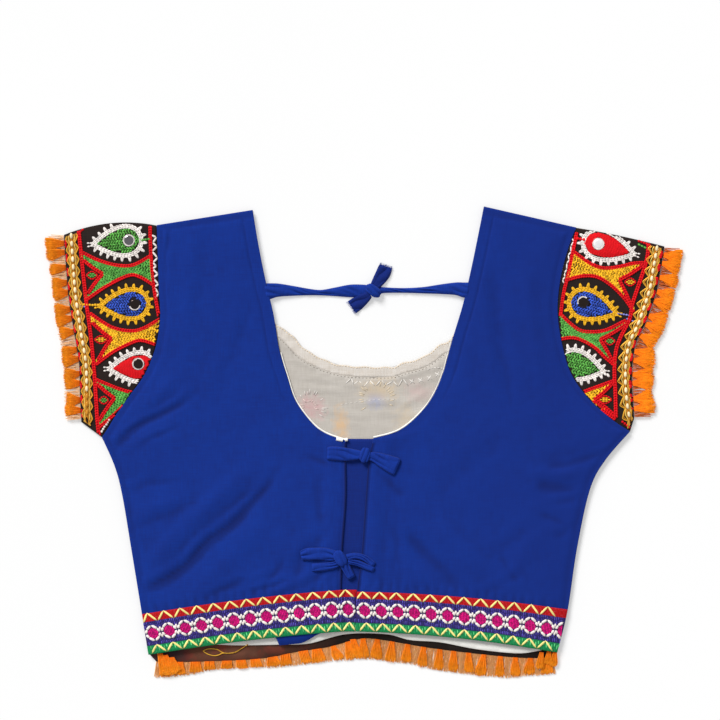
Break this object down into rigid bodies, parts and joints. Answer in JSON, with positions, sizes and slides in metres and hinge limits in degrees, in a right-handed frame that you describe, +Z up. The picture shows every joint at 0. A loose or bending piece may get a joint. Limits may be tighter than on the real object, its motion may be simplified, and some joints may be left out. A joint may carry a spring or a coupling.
{
  "type": "cropped blouse (choli)",
  "caption": "Cropped blouse with an open tied back, short mirror-work sleeves, a woven hem ribbon and orange fringes, laid flat with its back up.",
  "frame": {"origin": "centre of the blouse's outline on the surface that it lies on", "axes": "+X to the right across the back, +Y from the hem to the neck, +Z up, away from the surface"},
  "size_m": [0.5503, 0.4052, 0.0108],
  "materials": {
    "blue_cloth": "plain woven cotton, matt",
    "dark_cloth": "plain woven cotton, matt",
    "lining": "thin sheer voile",
    "edging": "thin sheer voile with a turned edge",
    "piping": "cotton piping",
    "ribbon": "woven patterned ribbon",
    "sleeve_work": "cotton densely worked in chain stitch",
    "gold_braid": "metallic gold braid",
    "mirror": "polished",
    "floss": "cut cotton floss"
  },
  "bodies": {
    "root": {"front": "dark_cloth", "front_lining": "lining", "front_neck_edging": "edging", "placket": "blue_cloth", "back_left": "blue_cloth", "back_right": "blue_cloth", "neck_piping_left": "piping", "neck_piping_right": "piping", "hem_border_left": "ribbon", "hem_border_right": "ribbon", "sleeve_left": "sleeve_work", "sleeve_right": "sleeve_work", "braid_left": "gold_braid", "braid_right": "gold_braid", "mirror_left_1": "mirror", "mirror_left_2": "mirror", "mirror_left_3": "mirror", "mirror_right_1": "mirror", "mirror_right_2": "mirror", "fringe_left_upper": "floss", "fringe_left_lower": "floss", "fringe_right_upper": "floss", "fringe_right_lower": "floss", "hem_fringe_left": "floss", "hem_fringe_right": "floss", "neck_tie_left": "blue_cloth", "neck_tie_right": "blue_cloth", "neck_knot": "blue_cloth", "neck_tail_up": "blue_cloth", "neck_tail_down": "blue_cloth", "upper_tie_left": "blue_cloth", "upper_tie_knot": "blue_cloth", "upper_tie_right": "blue_cloth", "lower_tie_left_upper": "blue_cloth", "lower_tie_left_lower": "blue_cloth", "lower_tie_knot": "blue_cloth", "lower_tie_tail": "blue_cloth", "lower_tie_right": "blue_cloth"}
  },
  "joints": []
}
